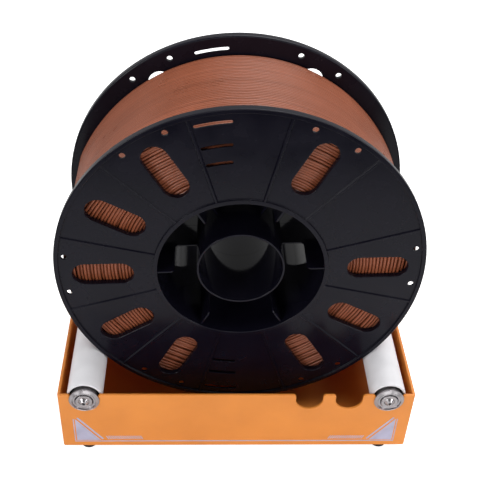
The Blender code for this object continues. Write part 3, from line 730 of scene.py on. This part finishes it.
sleeve_white = grained("white_sleeve_plastic", SLEEVE_DARK, SLEEVE_LIGHT, SLEEVE_ROUGHNESS,
                       SLEEVE_GRAIN)
shaft_steel = machined_steel("turned_shaft_steel", STEEL_DARK, STEEL_LIGHT, SHAFT_ROUGHNESS,
                             FINE_LINE_HEIGHT)
plug_black = grained("black_plug_plastic", PLUG_DARK, PLUG_LIGHT, PLUG_ROUGHNESS, PLUG_GRAIN)
for side in ("left", "right"):
    low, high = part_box(f"{side}_roller_shaft")
    centre = Vector(((low.x + high.x) / 2, 0.0, axle_z))
    shaft_radius = (high.x - low.x) / 2
    tip = high.y + CONE_STAND_OUT
    end_outline = [(0.0, tip - DRILL_DEPTH, 0), (DRILL_RADIUS, tip - DRILL_DEPTH, 0),
                   (DRILL_RADIUS, tip, DRILL_EDGE_RADIUS), (CONE_TIP_RADIUS, tip, CONE_EDGE_RADIUS),
                   (CONE_RADIUS, tip - CONE_HEIGHT, 0), (shaft_radius, tip - CONE_HEIGHT, 0)]
    outline = eased(end_outline + [(r, -h, edge) for r, h, edge in reversed(end_outline)])
    shaft = turned(f"{side}_steel_shaft", outline, BEARING_STEPS, centre)
    mount_piece(shaft, shaft_steel, "steel", f"{side}_roller", f"{side}_roller_shaft")

    low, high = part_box(f"{side}_roller_sleeve")
    sleeve_radius = (high.x - low.x) / 2
    sleeve_half = high.y
    bore = sleeve_radius - SLEEVE_WALL
    outline = eased([(sleeve_radius, -sleeve_half, SLEEVE_EDGE_RADIUS),
                     (sleeve_radius, sleeve_half, SLEEVE_EDGE_RADIUS),
                     (bore, sleeve_half, SLEEVE_EDGE_RADIUS), (bore, -sleeve_half, SLEEVE_EDGE_RADIUS)])
    sleeve = turned(f"{side}_white_sleeve", outline, SLEEVE_STEPS, centre)
    mount_piece(sleeve, sleeve_white, "white_sleeve", f"{side}_roller", f"{side}_roller_sleeve")
    for end, way in (("front", -1), ("back", 1)):
        low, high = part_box(f"{side}_roller_plug_{end}")
        plug_radius = (high.x - low.x) / 2
        boss_end = max(abs(low.y), abs(high.y))
        face = boss_end - PLUG_BOSS_LENGTH
        hole = shaft_radius + PLUG_GAP
        outline = eased([(plug_radius, face, PLUG_EDGE_RADIUS),
                         (plug_radius, face - PLUG_LENGTH, PLUG_EDGE_RADIUS),
                         (hole, face - PLUG_LENGTH, 0), (hole, boss_end, 0),
                         (PLUG_BOSS_RADIUS, boss_end, PLUG_BOSS_EDGE_RADIUS),
                         (PLUG_BOSS_RADIUS, face, PLUG_EDGE_RADIUS)])
        facing = [(r, way * h) for r, h in outline]
        plug = turned(f"{side}_{end}_end_plug", facing, PLUG_STEPS, centre)
        mount_piece(plug, plug_black, "black_plastic", f"{side}_roller", f"{side}_roller_plug_{end}")

# Spool
# Two injection-moulded halves in black plastic that meet in the middle of the barrel. Each
# has a ribbed flange with viewing windows, tie holes and gauge slots, and a webbed hub.
SPOOL_TURN = math.radians(2.4)
SPOOL_STEPS = 288
FLANGE_THICKNESS = 0.0045
PANEL_THICKNESS = 0.00345
RIM_LIP = 0.0025
RIM_RADIUS = 0.0005
RIM_BACK_RADIUS = 0.0010
FACE_EDGE_RADIUS = 0.0003
GROOVE_INSET = 0.0020
GROOVE_WIDTH = 0.0061
GROOVE_DEPTH = 0.0017
GROOVE_EDGE_RADIUS = 0.0004
BARREL_RADIUS = 0.0475
BARREL_WALL = 0.0025
BORE_RADIUS = 0.02265
BORE_WALL = 0.0012
BORE_SETBACK = 0.0021
SEAM_GAP = 0.00005
WEB_COUNT = 6
WEB_THICKNESS = 0.0012
WEB_REACH = 0.0090
WEB_SETBACK = 0.0013
WEB_CORNER = 0.0022
WEB_CORNER_STEPS = 6
WEB_STEP_DEPTH = 0.0240
WEB_STEP_FILLET = 0.0017
WEB_EDGE_SHARE = 0.45
RIB_COUNT = 12
RIB_WIDTH = 0.0010
RIB_FLARE = 0.0006
RIB_SETBACK = 0.0003
RIB_EDGE_SHARE = 0.4
BITE = 0.0006
WINDOW_LENGTH = 0.0330
WINDOW_WIDTH = 0.0137
WINDOW_PLACE_RADIUS = 0.07415
WINDOW_ANGLES = (-150, -120, -90, -60, -30, 30, 90, 120, 150)
WINDOW_EDGE = 0.0005
WINDOW_END_STEPS = 16
TIE_HOLE_RADIUS = 0.0016
TIE_HOLE_PLACE_RADIUS = 0.0943
TIE_HOLE_STEPS = 20
TIE_HOLE_ANGLES = [a + spread for a in (-150, -90, -30, 30, 90, 150) for spread in (-7.5, 7.5)]
SLOT_WIDTH = 0.0019
SLOT_RADII = (0.0926, 0.0798, 0.0698)
SLOT_START_ANGLE = -14.0
SLOT_END_X = -0.0034
SLOT_STEPS = 10
SLOT_END_STEPS = 10
SLOT_WALL = 0.0010
HOLE_WALLS = {"front": 0.0012, "back": 0.0010}
HOLE_RELIEF = 0.0006
SLOT_RELIEF = 0.0016
SMALL_EDGE = 0.0002
EDGE_ANGLES = [math.radians(a) for a in (90, 60, 30, 0)]
SPOOL_DARK = (0.0042, 0.0038, 0.0085)
SPOOL_LIGHT = (0.0066, 0.0060, 0.0120)
SPOOL_ROUGHNESS = (0.20, 0.30)
SPOOL_GRAIN = (0.0012, 0.020, 0.000010)
SPOOL_SHINE = 0.20
HUB_ROUGHNESS = 0.07
HUB_MARGIN = 0.0002


def polish_hub(material):
    """Makes the spool's plastic glossy inside the hub, as a polished core pin leaves it."""
    tree = material.node_tree
    shader = tree.nodes["Principled BSDF"]
    rings = place_group(tree, LATHE_LINES)
    inside = tree.nodes.new("ShaderNodeMath")
    inside.operation = "LESS_THAN"
    inside.inputs[1].default_value = BARREL_RADIUS - BARREL_WALL + HUB_MARGIN
    blend = tree.nodes.new("ShaderNodeMix")
    blend.inputs["B"].default_value = HUB_ROUGHNESS
    tree.links.new(rings.outputs["Radius"], inside.inputs[0])
    tree.links.new(inside.outputs[0], blend.inputs["Factor"])
    tree.links.new(shader.inputs["Roughness"].links[0].from_socket, blend.inputs["A"])
    tree.links.new(blend.outputs["Result"], shader.inputs["Roughness"])


def polar(radius, angle):
    """A point of the flange at this angle from the top, clockwise as seen from the front."""
    return (radius * math.sin(angle), radius * math.cos(angle))


def pierce(bm, outline_at, low, high, edge, turn):
    """A cutter from height low to high whose outline, a function of its growth, flares at both
    faces so that the hole gets round edges."""
    curve = [(edge * (1 - math.sin(a)), edge * (1 - math.cos(a))) for a in EDGE_ANGLES]
    levels = [(low - OVERRUN, edge)]
    levels += [(low + depth, growth) for depth, growth in curve]
    levels += [(high - depth, growth) for depth, growth in reversed(curve)]
    levels += [(high + OVERRUN, edge)]
    place = Matrix.Rotation(turn, 4, "Y")
    loft(bm, [[place @ Vector((x, -height, z)) for x, z in outline_at(growth)]
              for height, growth in levels])


def window_outline(growth):
    radius = WINDOW_WIDTH / 2 + growth
    reach = (WINDOW_LENGTH - WINDOW_WIDTH) / 2
    upper = arc((0.0, WINDOW_PLACE_RADIUS + reach), radius, 0.0, math.pi, WINDOW_END_STEPS)
    lower = arc((0.0, WINDOW_PLACE_RADIUS - reach), radius, math.pi, 2 * math.pi, WINDOW_END_STEPS)
    return upper + lower


def hole_outline(growth):
    radius = TIE_HOLE_RADIUS + growth
    return arc((0.0, TIE_HOLE_PLACE_RADIUS), radius, 0.0, 2 * math.pi, TIE_HOLE_STEPS)[:-1]


def slot_outline(radius, mirror):
    """The outline function of a band with round ends along an arc, from beside a rib nearly to
    the middle."""
    def outline_at(growth):
        half = SLOT_WIDTH / 2 + growth
        first = math.radians(SLOT_START_ANGLE) + SLOT_WIDTH / 2 / radius
        last = math.asin(SLOT_END_X / radius) - SLOT_WIDTH / 2 / radius
        there = [first + (last - first) * i / SLOT_STEPS for i in range(SLOT_STEPS + 1)]
        back = [last + (first - last) * i / SLOT_STEPS for i in range(SLOT_STEPS + 1)]
        quarter = math.pi / 2
        points = [polar(radius + half, angle) for angle in there]
        points += arc(polar(radius, last), half, quarter - last, -quarter - last, SLOT_END_STEPS)[1:-1]
        points += [polar(radius - half, angle) for angle in back]
        points += arc(polar(radius, first), half, -quarter - first, -3 * quarter - first,
                      SLOT_END_STEPS)[1:-1]
        return [(x, mirror * z) for x, z in points]
    return outline_at


def rib(bm, low, high, start, end, turn):
    """A rib along the flange's radius with sloping sides, rooted BITE deep in the panel."""
    half = RIB_WIDTH / 2
    foot = half + RIB_FLARE
    ease = half * RIB_EDGE_SHARE
    section = eased([(-foot, low, 0), (-foot, low + BITE, 0), (-half, high, ease),
                     (half, high, ease), (foot, low + BITE, 0), (foot, low, 0)], EDGE_STEPS)
    place = Matrix.Rotation(turn, 4, "Y")
    loft(bm, [[place @ Vector((x, -height, radius)) for x, height in section] for radius in (start, end)])


def hub_web(bm, face, turn):
    """A web from the barrel to the bore tube, cut away in front to a strip along the barrel."""
    wall = BARREL_RADIUS - BARREL_WALL
    tube = BORE_RADIUS + BITE
    top = face - WEB_SETBACK
    step = face - WEB_STEP_DEPTH
    edge = wall - WEB_REACH
    half = WEB_THICKNESS / 2
    ease = half * WEB_EDGE_SHARE
    place = Matrix.Rotation(turn, 4, "Y")
    rings = []
    for x, shrink in ((-half, ease), (-half + ease, 0.0), (half - ease, 0.0), (half, ease)):
        section = eased([(wall + BITE, 2 * SEAM_GAP, 0), (wall + BITE, top - shrink, 0),
                         (edge + shrink, top - shrink, WEB_CORNER),
                         (edge + shrink, step - shrink, WEB_STEP_FILLET),
                         (tube, step - shrink, 0), (tube, 2 * SEAM_GAP, 0)], WEB_CORNER_STEPS)
        rings.append([place @ Vector((x, -height, radius)) for radius, height in section])
    loft(bm, rings)


def pocket(bm, outline_at, growth, low, high, turn):
    """A straight cutter from height low to high that widens an outline behind its thin wall."""
    place = Matrix.Rotation(turn, 4, "Y")
    loft(bm, [[place @ Vector((x, -height, z)) for x, z in outline_at(growth)] for height in (low, high)])


def spool_half(end):
    """A half about the spool's axis, its face towards -Y. Holes and slots have a thin wall,
    on the outside in the front half, which has a groove inside, and inside in the back half."""
    rim = spool_radius
    face = spool_half_width
    back = face - FLANGE_THICKNESS
    panel = back + PANEL_THICKNESS
    lip = rim - RIM_LIP
    groove_out = rim - GROOVE_INSET
    groove_in = groove_out - GROOVE_WIDTH
    groove = back + GROOVE_DEPTH
    barrel_in = BARREL_RADIUS - BARREL_WALL
    corners = [(rim, face, RIM_RADIUS), (rim, back, RIM_BACK_RADIUS)]
    if end == "front":
        corners += [(groove_out, back, GROOVE_EDGE_RADIUS), (groove_out, groove, GROOVE_EDGE_RADIUS),
                    (groove_in, groove, GROOVE_EDGE_RADIUS), (groove_in, back, FACE_EDGE_RADIUS)]
    corners += [(BARREL_RADIUS, back, GROOVE_EDGE_RADIUS), (BARREL_RADIUS, SEAM_GAP, 0),
                (barrel_in, SEAM_GAP, 0), (barrel_in, face, FACE_EDGE_RADIUS)]
    corners += [(r, h, FACE_EDGE_RADIUS) for r, h in ((BARREL_RADIUS, face), (BARREL_RADIUS, panel),
                                                      (lip, panel), (lip, face))]
    profile = [(r, -h) for r, h in eased(corners, EDGE_STEPS)]
    half = turned(f"moulded_{end}_half", profile, SPOOL_STEPS, (0.0, 0.0, 0.0))
    added = bmesh.new()
    for i in range(RIB_COUNT):
        turn = 2 * math.pi * (i + 0.5) / RIB_COUNT
        rib(added, panel - BITE, face - RIB_SETBACK, BARREL_RADIUS - BITE, lip + BITE, turn)
    for i in range(WEB_COUNT):
        hub_web(added, face, 2 * math.pi * (i + 0.5) / WEB_COUNT)
    carve(half, added, "UNION")
    tube = BORE_RADIUS + BORE_WALL
    tube_top = face - BORE_SETBACK
    tube_outline = eased([(tube, tube_top, FACE_EDGE_RADIUS), (tube, SEAM_GAP, 0),
                          (BORE_RADIUS, SEAM_GAP, 0), (BORE_RADIUS, tube_top, FACE_EDGE_RADIUS)],
                         EDGE_STEPS)
    carve(half, lathe([(r, -h) for r, h in tube_outline], SPOOL_STEPS), "UNION")
    cut = bmesh.new()
    pockets = bmesh.new()

    def thin_opening(outline_at, wall, growth, turn):
        if end == "front":
            pierce(cut, outline_at, panel - wall, panel, SMALL_EDGE, turn)
            pocket(pockets, outline_at, growth, back - OVERRUN, panel - wall, turn)
        else:
            pierce(cut, outline_at, back, back + wall, SMALL_EDGE, turn)
            pocket(pockets, outline_at, growth, back + wall, panel + OVERRUN, turn)

    for angle in WINDOW_ANGLES:
        pierce(cut, window_outline, back, panel, WINDOW_EDGE, math.radians(angle))
    for angle in TIE_HOLE_ANGLES:
        thin_opening(hole_outline, HOLE_WALLS[end], HOLE_RELIEF, math.radians(angle))
    for radius in SLOT_RADII:
        for mirror in (1, -1):
            thin_opening(slot_outline(radius, mirror), SLOT_WALL, SLOT_RELIEF, 0.0)
    carve(half, pockets, "DIFFERENCE")
    carve(half, cut, "DIFFERENCE")
    return half


spool_axis = Vector(next(j["pos_m"] for j in frame["joints"] if j["name"] == "spool_spin"))
front_low, front_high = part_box("spool_front_half")
spool_radius = front_high.z - spool_axis.z
spool_half_width = spool_axis.y - front_low.y
spool_black = grained("moulded_black_plastic", SPOOL_DARK, SPOOL_LIGHT, SPOOL_ROUGHNESS, SPOOL_GRAIN)
spool_black.node_tree.nodes["Principled BSDF"].inputs["Specular IOR Level"].default_value = SPOOL_SHINE
polish_hub(spool_black)
for end in ("front", "back"):
    half = spool_half(end)
    if end == "back":
        half.data.transform(Matrix.Diagonal((1.0, -1.0, 1.0, 1.0)))
        half.data.flip_normals()
    half.data.shade_smooth()
    half.data.set_sharp_from_angle(angle=SMOOTH_ANGLE)
    half.data.transform(Matrix.Rotation(-SPOOL_TURN, 4, "Y"))
    even_normals(half)
    half.location = spool_axis
    mount_piece(half, spool_black, "black_plastic", "spool", f"spool_{end}_half")

# Filament
# About a kilogram of brown 1.75 mm filament, wound in layers. The top layer shows its turns
# side by side and hangs loose at the sides and below. Behind the windows, each layer's last
# turn lies near a flange.
STRAND_RADIUS = 0.000868
TOP_TURNS = 42
TURN_STEPS = 128
SIDE_TURNS = 25
SIDE_STEPS = 160
STRAND_SIDES = 8
STRAND_SMOOTH_ANGLE = math.radians(70)
FIRST_TURN_GAP = 0.0004
CORE_GAP = 0.0003
CORE_SINK_SHARE = 0.85
DRIFT_REACH = 1.6
LOOSE_HEIGHT = 0.00005
LOOSE_HEIGHT_WAVE = 0.0019
LOOSE_HEIGHT_SEED = 3.0
LOOSE_SIDEWAYS = 0.00003
LOOSE_SIDEWAYS_WAVE = 0.009
LOOSE_SIDEWAYS_SEED = 11.0
SIDE_WANDER = 0.00095
SIDE_WANDER_SPEED = 2.2
SIDE_WANDER_WAVE = 0.016
SIDE_WANDER_SEED = 20.0
SIDE_SINK = 0.0017
SIDE_SINK_SHIFT = 0.15
SIDE_SINK_STEP = 3.7
SIDE_SINK_SEED = 40.0
FILAMENT_DARK = (0.220, 0.061, 0.026)
FILAMENT_LIGHT = (0.335, 0.099, 0.048)
FILAMENT_ROUGHNESS = (0.26, 0.36)
FILAMENT_GRAIN_SIZE = 0.0006
FILAMENT_PATCH_SIZE = 0.030
FILAMENT_GRAIN_HEIGHT = 0.000008
FILAMENT_SHINE = 0.40
PATCH_TONE_SHARE = 0.35
WINDING_SLACK = 0.0060
SLACK_SPREAD = 1.7
SIDE_STRAND_SHARE = 0.87
STRAND_TONE_SPACE = 0.0026


def brown_filament():
    """Silky plastic whose tone changes from strand to strand and slowly along them."""
    material, tree, shader = new_material("brown_filament")
    texture = place_group(tree, SURFACE_TEXTURE, Grain_Size=FILAMENT_GRAIN_SIZE,
                          Patch_Size=FILAMENT_PATCH_SIZE)
    strands = place_group(tree, LATHE_LINES, Line_Space=STRAND_TONE_SPACE)
    blend = tree.nodes.new("ShaderNodeMix")
    blend.inputs["Factor"].default_value = PATCH_TONE_SHARE
    tree.links.new(strands.outputs["Lines"], blend.inputs["A"])
    tree.links.new(texture.outputs["Patches"], blend.inputs["B"])
    tint(tree, shader, blend.outputs["Result"], FILAMENT_DARK, FILAMENT_LIGHT)
    vary_gloss(tree, shader, texture.outputs["Patches"], FILAMENT_ROUGHNESS)
    emboss(tree, shader, texture.outputs["Grain"], FILAMENT_GRAIN_HEIGHT)
    shader.inputs["Specular IOR Level"].default_value = FILAMENT_SHINE
    return material


def strand(points, faces, path, thickness, closed):
    """Adds a round strand along (angle, radius, y) points that circle the spool's axis."""
    base = len(points)
    for angle, radius, y in path:
        for j in range(STRAND_SIDES):
            around = 2 * math.pi * (j + 0.5) / STRAND_SIDES
            r = radius + thickness * math.cos(around)
            points.append((r * math.sin(angle), y + thickness * math.sin(around), r * math.cos(angle)))
    count = len(path)
    for i in range(count if closed else count - 1):
        here = base + i * STRAND_SIDES
        there = base + (i + 1) % count * STRAND_SIDES
        for j in range(STRAND_SIDES):
            k = (j + 1) % STRAND_SIDES
            faces.append((here + j, here + k, there + k, there + j))
    if not closed:
        faces.append(tuple(base + j for j in reversed(range(STRAND_SIDES))))
        faces.append(tuple(base + (count - 1) * STRAND_SIDES + j for j in range(STRAND_SIDES)))


def drift(angle, across, wavelength, seed):
    """Smooth noise from -1 to 1 that changes round the spool and across it."""
    return noise.noise(Vector((seed + DRIFT_REACH * math.cos(angle), DRIFT_REACH * math.sin(angle),
                               across / wavelength)))


def hang(angle):
    """How far the loose outer turns hang out: not at the top, fully from the sides down."""
    return WINDING_SLACK * min(1.0, SLACK_SPREAD * (1.0 - math.cos(angle)) ** 2)


def strand_mesh(name, points, faces):
    mesh = bpy.data.meshes.new(name)
    mesh.from_pydata(points, [], faces)
    mesh.shade_smooth()
    mesh.set_sharp_from_angle(angle=STRAND_SMOOTH_ANGLE)
    piece = bpy.data.objects.new(name, mesh)
    bpy.context.scene.collection.objects.link(piece)
    piece.location = spool_axis
    return piece


core_low, core_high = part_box("filament_core")
winding_half = (core_high.y - core_low.y) / 2
top_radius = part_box("filament_outer_layer")[1].z - spool_axis.z
top_path = []
top_pitch = 2 * (winding_half - STRAND_RADIUS) / TOP_TURNS
for i in range(TOP_TURNS * TURN_STEPS + 1):
    angle = 2 * math.pi * i / TURN_STEPS + math.pi
    y = -winding_half + STRAND_RADIUS + top_pitch * i / TURN_STEPS
    lift = LOOSE_HEIGHT * (drift(angle, y, LOOSE_HEIGHT_WAVE, LOOSE_HEIGHT_SEED) - 1)
    aside = LOOSE_SIDEWAYS * drift(angle, y, LOOSE_SIDEWAYS_WAVE, LOOSE_SIDEWAYS_SEED)
    edge_share = min(1.0, (winding_half - STRAND_RADIUS - abs(y)) / LOOSE_SIDEWAYS)
    radius = top_radius - STRAND_RADIUS + hang(angle) + lift
    top_path.append((angle, radius, y + aside * edge_share))
points, faces = [], []
strand(points, faces, top_path, STRAND_RADIUS, closed=False)
top_layer = strand_mesh("wound_top_layer", points, faces)
filament = brown_filament()
mount_piece(top_layer, filament, "filament", "spool", "filament_outer_layer")

inner_turn = BARREL_RADIUS + FIRST_TURN_GAP + STRAND_RADIUS
outer_turn = top_radius - 3 * STRAND_RADIUS
side_space = (outer_turn - inner_turn) / (SIDE_TURNS - 1)
points, faces = [], []
for way in (-1, 1):
    for k in range(SIDE_TURNS):
        path = []
        for i in range(SIDE_STEPS):
            angle = 2 * math.pi * i / SIDE_STEPS
            radius = inner_turn + side_space * k + hang(angle) * (k / (SIDE_TURNS - 1)) ** 2
            wander = 0.0
            if 0 < k < SIDE_TURNS - 1:
                wander = SIDE_WANDER * drift(SIDE_WANDER_SPEED * angle, radius, SIDE_WANDER_WAVE,
                                             SIDE_WANDER_SEED * way)
            sunk_share = drift(angle, k * SIDE_SINK_STEP, 1.0, SIDE_SINK_SEED * way) + SIDE_SINK_SHIFT
            y = way * (winding_half - STRAND_RADIUS - SIDE_SINK * max(0.0, sunk_share))
            path.append((angle, radius + wander, y))
        strand(points, faces, path, SIDE_STRAND_SHARE * STRAND_RADIUS, closed=True)
side_layers = strand_mesh("wound_side_layers", points, faces)
mount_piece(side_layers, filament, "filament", "spool")
core_half = winding_half - SIDE_SINK - STRAND_RADIUS
core_radius = top_radius - CORE_SINK_SHARE * STRAND_RADIUS
core_bore = BARREL_RADIUS + CORE_GAP
core_outline = [(core_radius, core_half), (core_radius, -core_half), (core_bore, -core_half),
                (core_bore, core_half)]
core = turned("wound_core", core_outline, SIDE_STEPS, spool_axis)
mount_piece(core, filament, "filament", "spool", "filament_core")
